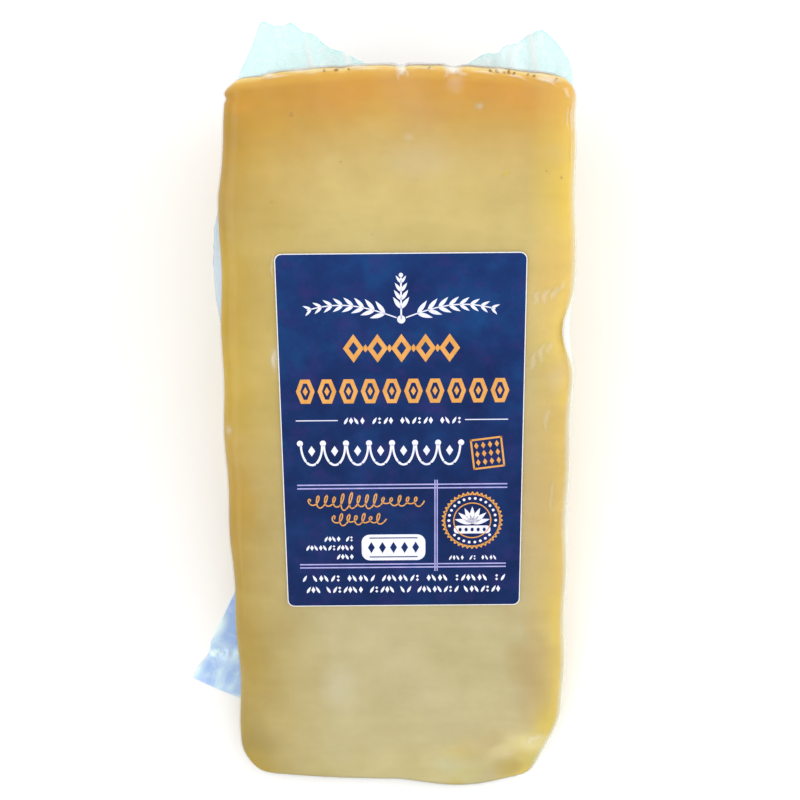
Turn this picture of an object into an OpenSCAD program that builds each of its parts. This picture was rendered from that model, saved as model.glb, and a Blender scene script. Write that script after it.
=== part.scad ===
// Wedge of clothbound cheddar, sealed in a tight clear shrink bag with a printed label.
// It lies on one cut face. The other cut face, which carries the label, slopes up from the
// thin end at -Y to the rind at +Y. The row's origin is the middle of the face it lies on.
// All sizes are in millimetres and all angles in degrees.

/* [Wheel and wedge] */
// Radius of the wheel that the wedge is cut from
wheel_r = 173; // [140:1:220]
// Angle between the two cut faces
wedge_angle = 15; // [10:0.5:24]
// Height of the slice of wheel, which is the width of the labelled face
slice_h = 74; // [62:1:100]
// Distance from the wheel's centre at which the thin end is cut off
tip_r = 14.4; // [10:0.2:24]
// How far the rind stands proud in the middle of the slice
rind_bow = 3; // [0:0.5:5]
// How far the thin end stands proud in the middle of the slice
tip_bow = 2.2; // [0:0.2:4]
// How far the thin end bulges beside its crumbled corner
tip_bulge = 1.6; // [0:0.2:3]
// Width of that bulge
tip_bulge_w = 30; // [16:1:36]
// Distance of that bulge to the right of the slice's middle
tip_bulge_x = 15; // [0:1:20]

/* [Sides] */
// How much the left side draws in at the rind
left_taper = 3.2; // [0:0.2:5]
// Length over which the left side draws in
left_taper_l = 25; // [20:1:80]
// How much the right side draws in at the rind
right_taper = 2.8; // [0:0.2:5]
// Length over which the right side draws in
right_taper_l = 70; // [20:1:80]
// How far the slice sways from side to side
sway = 0.45; // [0:0.05:1]
// Length of one sway
sway_l = 120; // [80:5:160]
// Distance from the rind at which the sway crosses the slice's middle
sway_from_rind = 48; // [0:2:60]
// Height of the small waves that the wire left in the sides
wave_h = 0.2; // [0:0.05:0.5]
// Length of one small wave
wave_l = 23; // [15:1:40]
// Depth of the dent in the right side
dent_depth = 2.2; // [0:0.1:3]
// Length of the dent along the side
dent_l = 17; // [8:1:28]
// Distance of the dent from the rind
dent_from_rind = 52; // [40:1:70]

/* [Softened edges] */
// Largest radius of the long edges
edge_r = 4; // [2:0.5:6]
// Radius of the edges round the rind
rind_edge_r = 3; // [1.5:0.5:6]
// Radius of the whole corner at the thin end, seen on the labelled face
tip_corner_r = 8.5; // [4:0.5:12]
// Length of the crumbled corner, along the wedge
crumb_l = 19; // [10:1:30]
// Width of the crumbled corner, across the wedge
crumb_w = 6; // [3:0.5:12]
// Radius that is left of the crumbled corner
crumb_corner_r = 4; // [2:0.5:6]

/* [Film] */
// Thickness of a film fin, two layers with their wrinkles
film_t = 0.8; // [0.6:0.1:1.5]
// Height of the left ear above the rind
left_ear_h = 10.8; // [6:0.2:16]
// Width of the left ear's outer slope
left_ear_slope = 5; // [2:0.5:9]
// Bend of that slope: 1 is straight, and less rises more steeply at its foot
left_ear_bend = 1; // [0.4:0.1:1]
// Width of the left ear's flat top
left_ear_top = 6.5; // [0:0.5:10]
// Height of the right ear above the rind
right_ear_h = 9; // [6:0.2:16]
// Width of the right ear's outer slope
right_ear_slope = 7; // [2:0.5:9]
// Bend of that slope
right_ear_bend = 0.5; // [0.4:0.1:1]
// Width of the right ear's flat top
right_ear_top = 1; // [0:0.5:10]
// Height of the seal between the two ears
seal_h = 1.5; // [1:0.5:4]
// How far down the right side the seal runs before it meets the cheese
seal_run = 25; // [12:1:30]
// How far the side fold stands out from the left side
fold_reach = 4; // [2:0.5:6]
// Length of the side fold
fold_l = 52; // [30:1:70]
// Distance from the rind to the middle of the side fold
fold_from_rind = 39; // [36:1:50]
// How far the tail's corner stands out from the left side
tail_reach = 11.5; // [6:0.5:16]
// Distance of the tail's corner from the thin end
tail_from_tip = 23; // [18:1:30]
// Length of the tail's edge on the rind side of its corner
tail_long = 24; // [14:1:30]
// Length of the tail's edge on the thin end's side of its corner
tail_short = 6; // [5:1:10]

/* [Label] */
// Width of the label
label_w = 51; // [40:1:54]
// Length of the label
label_l = 77.5; // [60:0.5:90]
// Radius of the label's corners
label_corner_r = 1.5; // [0.5:0.5:5]
// Thickness of the label's paper
label_t = 0.25; // [0.2:0.05:0.5]
// Distance from the rind to the label's middle, along the face
label_from_rind = 74.8; // [65:0.1:90]
// Distance of the label's middle to the right of the face's middle
label_x = 0.6; // [-4:0.1:4]
// Angle by which the label is stuck on crooked
label_turn = 0.5; // [-3:0.1:3]

/* [Hidden] */

// The wheel's axis runs along X through y = 0, z = 0 until the wedge is moved to its origin.
origin_y = (wheel_r + tip_r) / 2;
half_w = slice_h / 2;

// Steps across the flat faces, up the sides, round an edge and along the body.
FLAT_STEPS = 8;
SIDE_STEPS = 3;
EDGE_STEPS = 4;
END_STEPS = 5;
BODY_STEPS = 36;
CAP_STEPS = 4;
FIN_STEPS = 36;

// Largest share of the wedge's thickness that the radius of an edge takes.
EDGE_SHARE = 0.42;

// 0 below t = 0, 1 above t = 1, and smooth between.
function ease(t) = let (c = max(0, min(1, t))) c * c * (3 - 2 * c);

// A round hump of height 1 at t = 0 that has died out at t = 1 and t = -1.
function hump(t) = pow(1 - min(1, t * t), 2);

// What a corner of radius r takes off the outline at a distance d from its end.
function corner_loss(r, d) = d >= r ? 0 : r - sqrt(max(0, r * r - (r - d) * (r - d)));

// Thickness of the wedge, along the arc, at a distance rho from the wheel's centre.
function thickness(rho) = rho * wedge_angle * PI / 180;

// Radius of the long edges there: the thin end has no room for the full radius.
function long_edge_r(rho) = min(edge_r, EDGE_SHARE * thickness(rho));

// How far the whole slice sways to the left at rho, and how far its small waves stand out.
function sway_at(rho) = sway * sin(360 * (wheel_r - rho - sway_from_rind) / sway_l);
function wave_at(rho) = wave_h * sin(360 * rho / wave_l);

// How far a side draws in towards the rind.
function taper_at(rho, amount, run) = amount * ease(1 - (wheel_r - rho) / run);

// The two half widths of the slice, from its middle plane at x = 0.
function left_half(rho) =
    half_w + sway_at(rho) + wave_at(rho)
    - taper_at(rho, left_taper, left_taper_l)
    - corner_loss(tip_corner_r, rho - tip_r);

function right_half(rho) =
    half_w - sway_at(rho) + wave_at(rho + wave_l / 3)
    - taper_at(rho, right_taper, right_taper_l)
    - dent_depth * hump((rho - wheel_r + dent_from_rind) / (dent_l / 2))
    - crumb_w * max(0, 1 - (rho - tip_r) / crumb_l)
    - corner_loss(crumb_corner_r, rho - tip_r);

// How far the bows and the bulge of the two ends move a point at x towards the rind.
function bow(x, rho) =
    let (
        across = pow(x / half_w, 2),
        near_tip = 1 - ease((rho - tip_r) / crumb_l),
        near_rind = 1 - ease((wheel_r - rho) / crumb_l)
    )
    (tip_bow * across - tip_bulge * hump((x - tip_bulge_x) / (tip_bulge_w / 2))) * near_tip
    - rind_bow * across * near_rind;

// A point of the wedge: x across the slice, rho from the wheel's centre, and t up its arc.
function polar(x, rho, t) =
    let (r = rho + bow(x, rho), angle = t / thickness(rho) * wedge_angle)
    [x, r * cos(angle), r * sin(angle)];

// One ring round the wedge at rho. It is drawn in by inset all round, and shrunk by share
// towards its middle, which makes the rings that close the two ends.
function ring(rho, inset, share) =
    let (
        h = thickness(rho),
        left = -left_half(rho) + inset,
        right = right_half(rho) - inset,
        low = inset,
        high = h - inset,
        r = min(long_edge_r(rho), EDGE_SHARE * (high - low)),
        mid_x = (left + right) / 2,
        mid_t = h / 2,
        corners = [
            [right - r, low + r, -90],
            [right - r, high - r, 0],
            [left + r, high - r, 90],
            [left + r, low + r, 180]
        ],
        outline = [
            for (c = [0:3]) each concat(
                [
                    for (i = [0:EDGE_STEPS])
                    let (a = corners[c][2] + 90 * i / EDGE_STEPS)
                    [corners[c][0] + r * cos(a), corners[c][1] + r * sin(a)]
                ],
                between(corner_end(corners[c], r), corner_start(corners[(c + 1) % 4], r),
                        c % 2 == 0 ? SIDE_STEPS : FLAT_STEPS)
            )
        ]
    )
    [for (p = outline) polar(mid_x + (p[0] - mid_x) * share, rho, mid_t + (p[1] - mid_t) * share)];

function corner_start(c, r) = [c[0] + r * cos(c[2]), c[1] + r * sin(c[2])];
function corner_end(c, r) = [c[0] + r * cos(c[2] + 90), c[1] + r * sin(c[2] + 90)];

// The points that divide the line from a to b into equal steps, without its ends.
function between(a, b, steps) = [for (i = [1:steps - 1]) a + (b - a) * i / steps];

// The rings from the thin end to the rind, as [rho, inset, share].
tip_round = EDGE_SHARE * thickness(tip_r);
rings = concat(
    [for (i = [1:CAP_STEPS - 1]) [tip_r, tip_round, i / CAP_STEPS]],
    [
        for (i = [0:END_STEPS - 1])
        let (a = 90 * i / END_STEPS)
        [tip_r + tip_round * (1 - cos(a)), tip_round * (1 - sin(a)), 1]
    ],
    [
        for (i = [0:BODY_STEPS])
        [tip_r + tip_round + (wheel_r - rind_edge_r - tip_r - tip_round) * i / BODY_STEPS, 0, 1]
    ],
    [
        for (i = [1:END_STEPS])
        let (a = 90 * i / END_STEPS)
        [wheel_r - rind_edge_r * (1 - sin(a)), rind_edge_r * (1 - cos(a)), 1]
    ],
    [for (i = [1:CAP_STEPS - 1]) [wheel_r, rind_edge_r, 1 - i / CAP_STEPS]]
);

// The wedge itself, out to the outside of its film.
module wedge() {
    loops = [for (g = rings) ring(g[0], g[1], g[2])];
    n = len(loops[0]);
    last = len(loops) - 1;
    points = concat(
        [for (l = loops) each l],
        [mean(loops[0]), mean(loops[last])]
    );
    tip_pole = n * (last + 1);
    rind_pole = tip_pole + 1;
    faces = concat(
        [for (k = [0:last - 1], i = [0:n - 1]) [k * n + i, (k + 1) * n + (i + 1) % n, (k + 1) * n + i]],
        [for (k = [0:last - 1], i = [0:n - 1]) [k * n + i, k * n + (i + 1) % n, (k + 1) * n + (i + 1) % n]],
        [for (i = [0:n - 1]) [tip_pole, (i + 1) % n, i]],
        [for (i = [0:n - 1]) [rind_pole, last * n + i, last * n + (i + 1) % n]]
    );
    polyhedron(points = points, faces = faces);
}

function mean(list) = [for (k = [0:2]) sum([for (p = list) p[k]]) / len(list)];
function sum(list) = list * [for (v = list) 1];

// An ear of the head seal, at a distance in from its outer end: a slope, a flat top and a
// long fall.
function ear(inward, h, slope, bend, top) =
    h * pow(max(0, min(1, inward / slope)), bend)
    * pow(1 - max(0, min(1, (inward - slope - top) / (half_w - slope - top))), 2);

// A film fin: the outline, in the plane that halves the wedge's angle.
module fin(outline) {
    rotate([wedge_angle / 2, 0, 0])
        translate([0, 0, -film_t / 2])
            linear_extrude(film_t)
                polygon(outline);
}

// The bag's end seal, which stands up in an ear at each corner of the rind. On the right it
// bridges the hollow between the ear and the side.
module head_seal() {
    left_end = left_taper - half_w;
    right_end = half_w;
    fin(concat(
        [
            [half_w - right_taper, wheel_r - seal_run],
            [left_end + edge_r, wheel_r - rind_bow - 2 * edge_r],
            [left_end, wheel_r - rind_bow - rind_edge_r]
        ],
        [
            for (i = [0:FIN_STEPS])
            let (x = left_end + (right_end - left_end) * i / FIN_STEPS)
            [
                x,
                wheel_r
                + max(
                    ear(x - left_end, left_ear_h, left_ear_slope, left_ear_bend, left_ear_top),
                    ear(right_end - x, right_ear_h, right_ear_slope, right_ear_bend, right_ear_top),
                    min(seal_h, (x - left_end) / 2, (right_end - x) / 2)
                )
            ]
        ]
    ));
}

// The bag's side fold, a low fin on the left side.
module side_fold() {
    fold_rho = wheel_r - fold_from_rind;
    fin(concat(
        [[edge_r - half_w, fold_rho + fold_l / 2], [edge_r - half_w, fold_rho - fold_l / 2]],
        [
            for (i = [0:FIN_STEPS])
            let (t = -1 + 2 * i / FIN_STEPS)
            [edge_r / 2 - half_w - (fold_reach + edge_r / 2) * hump(t), fold_rho + t * fold_l / 2]
        ]
    ));
}

// The bag's tail is folded under the wedge, and one of its corners shows on the left.
module tail_corner() {
    corner_y = tip_r + tail_from_tip;
    inside = edge_r - half_w;
    linear_extrude(film_t)
        polygon([
            [inside, corner_y - tail_short],
            [inside, corner_y + tail_long],
            [-half_w, corner_y + tail_long],
            [-half_w - tail_reach, corner_y],
            [-half_w, corner_y - tail_short]
        ]);
}

module pack() {
    color("khaki")
        translate([0, -origin_y, 0])
            union() {
                wedge();
                head_seal();
                side_fold();
                tail_corner();
            }
}

module label() {
    color("midnightblue")
        translate([0, -origin_y, 0])
            rotate([wedge_angle, 0, 0])
                translate([label_x, wheel_r - label_from_rind, 0])
                    rotate([0, 0, label_turn])
                        linear_extrude(label_t)
                            rounded_rectangle(label_w, label_l, label_corner_r);
}

module rounded_rectangle(w, l, r) {
    square([w - 2 * r, l], center = true);
    square([w, l - 2 * r], center = true);
    for (x = [-1, 1], y = [-1, 1])
        translate([x * (w / 2 - r), y * (l / 2 - r)])
            circle(r, $fn = 48);
}

pack();
label();
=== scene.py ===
import math

import bmesh
import bpy
from mathutils import Matrix, Vector, noise


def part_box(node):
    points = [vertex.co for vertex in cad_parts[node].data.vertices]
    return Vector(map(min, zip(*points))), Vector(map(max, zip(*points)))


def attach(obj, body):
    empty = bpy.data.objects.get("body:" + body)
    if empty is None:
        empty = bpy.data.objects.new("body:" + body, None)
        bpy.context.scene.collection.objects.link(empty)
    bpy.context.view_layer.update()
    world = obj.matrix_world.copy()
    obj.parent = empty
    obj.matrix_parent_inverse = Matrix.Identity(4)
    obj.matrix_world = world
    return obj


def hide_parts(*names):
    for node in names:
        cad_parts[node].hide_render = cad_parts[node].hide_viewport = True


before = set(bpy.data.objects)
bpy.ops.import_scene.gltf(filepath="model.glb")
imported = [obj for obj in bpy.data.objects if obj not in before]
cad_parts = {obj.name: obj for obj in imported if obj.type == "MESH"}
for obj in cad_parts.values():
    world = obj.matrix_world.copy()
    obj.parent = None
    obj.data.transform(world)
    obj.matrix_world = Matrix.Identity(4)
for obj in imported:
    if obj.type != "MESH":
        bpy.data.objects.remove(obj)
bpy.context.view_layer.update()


# ---- Camera ---------------------------------------------------------------------------------
# It hangs above the label and looks straight down on the wedge, which lies on its back, so the
# sloping face shows as the shopper sees it.
mm = 0.001
camera_offset = Vector((-0.48, 7.83, 219.1)) * mm
label_low, label_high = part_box("label")
label_middle = (Vector(label_low) + Vector(label_high)) / 2
scene = bpy.context.scene
camera_data = bpy.data.cameras.new("camera")
camera_data.sensor_width = 36
camera_data.lens = 46.8
camera_data.clip_start = 1 * mm
camera = bpy.data.objects.new("camera", camera_data)
camera.location = label_middle + camera_offset
scene.collection.objects.link(camera)
scene.camera = camera
scene.view_settings.view_transform = "Standard"


# ---- Light table ----------------------------------------------------------------------------
# A plain white table with white walls all round, and soft lamps of which the right one is
# the brightest.
def srgb(red, green, blue, alpha=1.0):
    """A colour given as screen values from 0 to 255, as Blender's linear numbers."""
    def linear(value):
        value /= 255
        return value / 12.92 if value <= 0.04045 else ((value + 0.055) / 1.055) ** 2.4

    return (linear(red), linear(green), linear(blue), alpha)


def soft_lamp(name, place, width, watts):
    """A square area lamp at a place, facing the middle of the label."""
    data = bpy.data.lights.new(name, "AREA")
    data.size = width
    data.energy = watts
    lamp = bpy.data.objects.new(name, data)
    place = Vector(place)
    lamp.matrix_world = Matrix.Translation(place) @ (
        (label_middle - place).to_track_quat("-Z", "Y").to_matrix().to_4x4()
    )
    scene.collection.objects.link(lamp)


world = bpy.data.worlds.new("white_walls")
scene.world = world
world.use_nodes = True
walls = world.node_tree.nodes["Background"]
walls.inputs["Color"].default_value = (1, 1, 1, 1)
walls.inputs["Strength"].default_value = 1.03
soft_lamp("window_right", (0.62, 0.20, 0.42), 0.40, 1.2)
soft_lamp("window_left", (-0.50, -0.20, 0.60), 0.60, 0.9)
soft_lamp("window_back", (0.05, 0.65, 0.35), 0.45, 0.3)

table_half = 1.5
table_bm = bmesh.new()
bmesh.ops.create_grid(table_bm, x_segments=24, y_segments=24, size=table_half)
table_mesh = bpy.data.meshes.new("table_top")
table_bm.to_mesh(table_mesh)
table_bm.free()
table = bpy.data.objects.new("table_top", table_mesh)
scene.collection.objects.link(table)


def new_material(name):
    """A node material, its Principled node, and a function that adds a node with its settings."""
    material = bpy.data.materials.new(name)
    material.use_nodes = True
    tree = material.node_tree

    def node(kind, inputs=None, settings=None, **values):
        made = tree.nodes.new("ShaderNode" + kind)
        for key, value in (settings or {}).items():
            setattr(made, key, value)
        for key, value in values.items():
            made.inputs[key.replace("_", " ")].default_value = value
        for key, value in (inputs or {}).items():
            if isinstance(value, bpy.types.NodeSocket):
                tree.links.new(value, made.inputs[key])
            else:
                made.inputs[key].default_value = value
        return made

    return material, tree.nodes["Principled BSDF"], node


def set_ramp(ramp, stops):
    """Puts (position, colour) stops on a Color Ramp node."""
    elements = ramp.color_ramp.elements
    while len(elements) < len(stops):
        elements.new(0.5)
    for element, (position, colour) in zip(elements, stops):
        element.position = position
        element.color = colour


def cloudy(node, place, scale, detail, roughness=0.5):
    """A socket for soft noise from 0 to 1 over the place socket."""
    made = node("TexNoise", {"Vector": place}, Scale=scale, Detail=detail, Roughness=roughness)
    return made.outputs["Fac"]


def grey(level):
    return (level, level, level, 1)


black, white = grey(0), grey(1)
table_paint, surface, node = new_material("white_laminate")
shade = node("ValToRGB", {"Fac": cloudy(node, node("TexCoord").outputs["Object"], 60.0, 3.0)})
set_ramp(shade, [(0, grey(0.95)), (1, grey(0.985))])
table_paint.node_tree.links.new(shade.outputs["Color"], surface.inputs["Base Color"])
surface.inputs["Roughness"].default_value = 0.8
surface.inputs["Specular IOR Level"].default_value = 0.1
table_mesh.materials.append(table_paint)


# ---- Cheese ---------------------------------------------------------------------------------
# A sector cut by wire from a slab of a clothbound wheel of cheddar. The wire leaves the two
# long faces nearly flat; the rind end is a piece of the wheel's rim, and the thin end is
# blunt, with one corner that crumbled when the wheel was split.
wheel_r = 173 * mm
wedge_angle = math.radians(15)
slab_w = 74 * mm
tip_r = 14.4 * mm
rind_bow = 3 * mm
tip_bow = 2.2 * mm
tip_bulge, tip_bulge_w, tip_bulge_x = 1.9 * mm, 33 * mm, 15 * mm
left_taper, left_taper_l = 2.7 * mm, 25 * mm
right_taper, right_taper_l = 2.8 * mm, 70 * mm
shoulder_h, shoulder_from_rind, shoulder_half_l = 0.5 * mm, 3.0 * mm, 6.5 * mm
sway, sway_l, sway_from_rind = 0.45 * mm, 120 * mm, 48 * mm
wave_h, wave_l = 0.2 * mm, 23 * mm
dent_depth, dent_l, dent_from_rind = 2.2 * mm, 19 * mm, 53 * mm
edge_r, rind_edge_r, edge_share = 4 * mm, 3 * mm, 0.42
tip_corner_r = 8.5 * mm
crumb_l, crumb_w, crumb_corner_r = 19 * mm, 6 * mm, 4 * mm
origin_y = (wheel_r + tip_r) / 2


def ease(t):
    """A smooth step from 0 to 1, for t from 0 to 1."""
    t = max(0.0, min(1.0, t))
    return t * t * (3 - 2 * t)


def hump(t):
    """A smooth bump, 1 at t = 0 and nothing from t = 1 or -1 outwards."""
    return (1 - min(1.0, t * t)) ** 2


# The rim swells a little, steps down near the left corner and has two notches, given as
# across, half width and drop in mm.
rim_swell, swell_slant = 0.75 * mm, 0.005
rim_wave_h, rim_fade_l = 0.07 * mm, 5 * mm
rim_step_x, rim_step_run, rim_step_drop = -25.6 * mm, 1.6 * mm, 0.45 * mm
rim_notches = [(0.3, 1.3, 0.45), (10.6, 2.2, 0.45), (-11.2, 1.6, 0.2), (36.0, 7.0, 0.6)]


def rim_drop(x, depth):
    """How far the swelling, the step, the notches and small waves of the rim pull it in."""
    fade = 1 - ease(depth / rim_fade_l)
    drop = rim_step_drop * ease((rim_step_x - x) / rim_step_run) - rim_swell - swell_slant * x
    drop += sum(d * mm * hump((x / mm - at) / half) for at, half, d in rim_notches)
    drop += rim_wave_h * (1 + noise.noise(Vector((x * 420, 7.0, 2.0))))
    return drop * fade


def corner_loss(r, d):
    """How much a corner rounded to radius r takes off at a distance d from the end."""
    return 0.0 if d >= r else r - math.sqrt(max(0.0, r * r - (r - d) ** 2))


# A small knob at the left corner of the rim, and the nick that ends it. The film spans the
# dent in the right side, so that it dips less than the cheese does.
nub_h, nub_from_rind, nub_half_l = 0.2 * mm, 2.4 * mm, 1.8 * mm
nick_h, nick_from_rind, nick_half_l = 0.3 * mm, 4.0 * mm, 1.1 * mm
dent_in_cheese, film_spans = 1.05, 0.55


def side_halves(rho, span):
    """The slab's half widths to the left and right; span is 1 for the film, 0 for the cheese."""
    sway_at = sway * math.sin(math.tau * (wheel_r - rho - sway_from_rind) / sway_l)
    left = slab_w / 2 + sway_at + wave_h * math.sin(math.tau * rho / wave_l)
    left -= left_taper * max(0.0, 1 - (wheel_r - rho) / left_taper_l)
    left += nub_h * hump((wheel_r - rho - nub_from_rind) / nub_half_l)
    left -= nick_h * hump((wheel_r - rho - nick_from_rind) / nick_half_l)
    left -= corner_loss(tip_corner_r, rho - tip_r)
    right = slab_w / 2 - sway_at + wave_h * math.sin(math.tau * (rho / wave_l + 1 / 3))
    right -= right_taper * ease(1 - (wheel_r - rho) / right_taper_l)
    right += shoulder_h * hump((wheel_r - rho - shoulder_from_rind) / shoulder_half_l)
    dent = dent_depth * hump((rho - wheel_r + dent_from_rind) / (dent_l / 2))
    right -= dent * (dent_in_cheese - film_spans * span)
    right -= crumb_w * ease(1 - (rho - tip_r) / crumb_l)
    right -= corner_loss(crumb_corner_r, rho - tip_r)
    return left, right


def end_bow(x, rho):
    """How far the bows and the bulge of the two ends move a point towards the rind."""
    across = (2 * x / slab_w) ** 2
    near_tip = 1 - ease((rho - tip_r) / crumb_l)
    near_rind = 1 - ease((wheel_r - rho) / crumb_l)
    bulge = tip_bulge * hump((x - tip_bulge_x) / (tip_bulge_w / 2))
    return (tip_bow * across - bulge) * near_tip - rind_bow * across * near_rind


def wedge_point(place, gap, side_gap, span):
    """Where a point of the unit cube lands on the wedge, with all its edges rounded."""
    u, v, w = (c + 0.5 for c in place)
    low, high = tip_r + gap, wheel_r - gap
    rho = low + (high - low) * v
    left, right = side_halves(rho, span)
    thick = rho * wedge_angle
    x = side_gap - left + (left + right - 2 * side_gap) * u
    t = gap + (thick - 2 * gap) * w
    r = min(edge_r, edge_share * thick) - gap / 2
    tip_round = edge_share * tip_r * wedge_angle
    inner = (
        max(side_gap - left + r, min(right - side_gap - r, x)),
        max(low + tip_round, min(high - rind_edge_r, rho)),
        max(gap + r, min(thick - gap - r, t)),
    )
    radii = (r, tip_round if v < 0.5 else rind_edge_r, r)
    past = [(a - b) / c for a, b, c in zip((x, rho, t), inner, radii)]
    reach = math.sqrt(sum(c * c for c in past))
    if reach > 0:
        x, rho_round, t = (b + c * a / reach for a, b, c in zip(past, inner, radii))
    else:
        rho_round = rho
    out = rho_round + end_bow(x, rho_round) - rim_drop(x, wheel_r - rho_round)
    turn = t / rho
    return Vector((x, out * math.cos(turn) - origin_y, out * math.sin(turn))), wheel_r - rho_round


def even(t, bunching):
    """A position from -0.5 to 0.5, moved so that steps bunch up at both ends."""
    return t - bunching * math.sin(math.tau * (t + 0.5)) / math.tau


edge_bunching = (0.35, 0.6, 0.2)


def wedge_block(across, along, up):
    """A unit cube cut that often each way, with the cuts closer together near its edges."""
    bm = bmesh.new()
    bmesh.ops.create_cube(bm, size=1.0)
    for axis, cuts in enumerate((across, along, up)):
        edges = [
            e for e in bm.edges
            if abs(e.verts[0].co[axis] - e.verts[1].co[axis]) > 0.5
        ]
        bmesh.ops.subdivide_edges(bm, edges=edges, cuts=cuts, use_grid_fill=True)
    for vert in bm.verts:
        vert.co = Vector([even(c, bunching) for c, bunching in zip(vert.co, edge_bunching)])
    return bm


def finish_piece(bm, name, smooth=True):
    """Turns a bmesh into an object of the scene that rides on the pack's one body."""
    mesh = bpy.data.meshes.new(name)
    bm.to_mesh(mesh)
    bm.free()
    if smooth:
        mesh.shade_smooth()
    else:
        mesh.shade_flat()
    piece = bpy.data.objects.new(name, mesh)
    scene.collection.objects.link(piece)
    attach(piece, "root")
    return piece


def from_line(x, depth, points):
    """How far a spot on the cut face lies from a line through points, given in mm."""
    spot = Vector((x, depth)) / mm
    nearest = 1000.0
    for a, b in zip(points, points[1:]):
        a, b = Vector(a), Vector(b)
        t = max(0.0, min(1.0, (spot - a).dot(b - a) / (b - a).length_squared))
        nearest = min(nearest, (spot - a.lerp(b, t)).length)
    return nearest * mm


veil, clearness = 0.022, 0.86


def seen(red, green, blue):
    """The cheese's own colour, where this one shows through the film's faint white veil."""
    return (*(max(0.0, c * clearness - veil) for c in srgb(red, green, blue)[:3]), 1)


# Uneven patches of the paste, most of them on the crumbled corner, which is pale and yellow
# round an ochre hollow. The pale patches there are partly a painted highlight where the film
# bridges the corner, and the ochre patches down the left edge are partly painted shade.
# Across, down from the rind, half width and half length in mm, colour and strength.
patches = [
    (20.7, 148, 10, 4.6, seen(216, 194, 138), 0.60), (25.6, 143.4, 8.5, 6.5, seen(214, 194, 140), 0.55),
    (33.4, 143, 4, 6, seen(228, 202, 92), 0.80), (14.3, 149.8, 6.5, 3.6, seen(214, 194, 116), 0.65),
    (10.9, 153.2, 6, 2.8, seen(208, 206, 162), 0.70), (15.6, 155.4, 5, 3.6, seen(212, 204, 136), 0.70),
    (29.4, 148.8, 8.5, 4.4, seen(242, 228, 160), 0.95), (23.6, 150.6, 5, 2.6, seen(232, 214, 156), 0.70),
    (30.4, 153.6, 4, 3.2, seen(216, 204, 118), 0.70), (25.4, 155, 4.8, 3.4, seen(198, 172, 86), 0.85),
    (13.1, 157.6, 2.8, 2.2, seen(200, 174, 82), 0.85), (21, 20.4, 1.1, 1.1, seen(222, 194, 52), 0.65),
    (15.6, 7.3, 1.5, 1.4, seen(196, 168, 96), 0.55), (29.6, 16.6, 4, 3, seen(232, 200, 120), 0.50),
    (-34, 11, 3, 8, seen(192, 150, 36), 0.55), (-30.5, 6, 5, 4, seen(222, 160, 50), 0.60),
    (-12, 6.5, 9, 4, seen(214, 150, 62), 0.50), (6, 8.5, 8, 4, seen(208, 152, 72), 0.45),
    (22, 4.5, 6, 3.5, seen(234, 168, 72), 0.50), (-36, 120, 4, 9, seen(178, 150, 66), 0.50),
    (-33, 147, 6, 9, seen(174, 152, 82), 0.60), (27, 128, 5, 9, seen(194, 168, 104), 0.45),
    (30, 88, 13, 42, seen(212, 178, 118), 0.55), (31, 41, 9, 17, seen(242, 204, 122), 0.55),
    (-35, 87, 5.5, 17, seen(200, 158, 52), 0.70), (0, 155, 30, 6, seen(216, 202, 136), 0.50),
    (30.5, 131, 6.5, 18, seen(190, 158, 104), 0.55),
]
hollow = [(8.0, 149.0), (15.0, 147.4), (22.0, 144.0), (26.0, 138.0)]
cheese_gap, cheese_side_gap = 0.28 * mm, 0.05 * mm
grain_h, crumb_h, rind_h, rind_rough_l = 0.05 * mm, 0.18 * mm, 0.22 * mm, 2.5 * mm
hollow_w, hollow_h, crumbled_from = 5.0 * mm, 0.45 * mm, 125 * mm
side_fade_from = 6 * mm
bm = wedge_block(100, 220, 26)
layers = bm.verts.layers
rind_depth, rim_depth, left_depth, right_depth = (
    layers.float.new(name) for name in ("rind_depth", "rim_depth", "left_depth", "right_depth")
)
patch_tone = layers.float_color.new("patch_tone")
for vert in bm.verts:
    below = 0.5 - vert.co.z
    vert.co, depth = wedge_point(vert.co, cheese_gap, cheese_side_gap, 0)
    vert[rind_depth] = depth
    vert[rim_depth] = depth * (1 - 0.6 * ease((below - 0.08) / 0.1))
    down_side = 0.5 * max(0.0, below * (wheel_r - depth) * wedge_angle - side_fade_from)
    left, right = side_halves(wheel_r - depth, 1)
    vert[left_depth] = left + vert.co.x + down_side
    vert[right_depth] = right - vert.co.x + down_side
bm.normal_update()
for vert in bm.verts:
    place, depth = vert.co, vert[rind_depth]
    rough = noise.fractal(place * 90, 0.9, 2.1, 4) * grain_h
    if place.x > 0 and depth > crumbled_from:
        crumbled = hump(from_line(place.x, depth, hollow) / hollow_w)
        rough -= crumbled * (hollow_h + crumb_h * noise.noise(place * 420))
    tone, cover = Vector((0, 0, 0)), 0.0
    if vert.normal.z > 0.1:
        frayed = 1 + 0.5 * noise.noise(place * 260)
        for x, y, half_x, half_y, colour, strength in patches:
            far = math.hypot((place.x / mm - x) / half_x, (depth / mm - y) / half_y)
            share = strength * hump(far * frayed)
            if share > 0:
                tone = tone * cover * (1 - share) + Vector(colour[:3]) * share
                cover = cover * (1 - share) + share
                tone /= cover
    vert[patch_tone] = (*tone, cover)
    at_rind = 1 - ease(depth / rind_rough_l)
    rough += at_rind * rind_h * noise.fractal(place * 160, 0.8, 2.0, 4)
    if vert.normal.z > -0.5:
        vert.co = place + vert.normal * rough
cheese = finish_piece(bm, "cheese")

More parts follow.
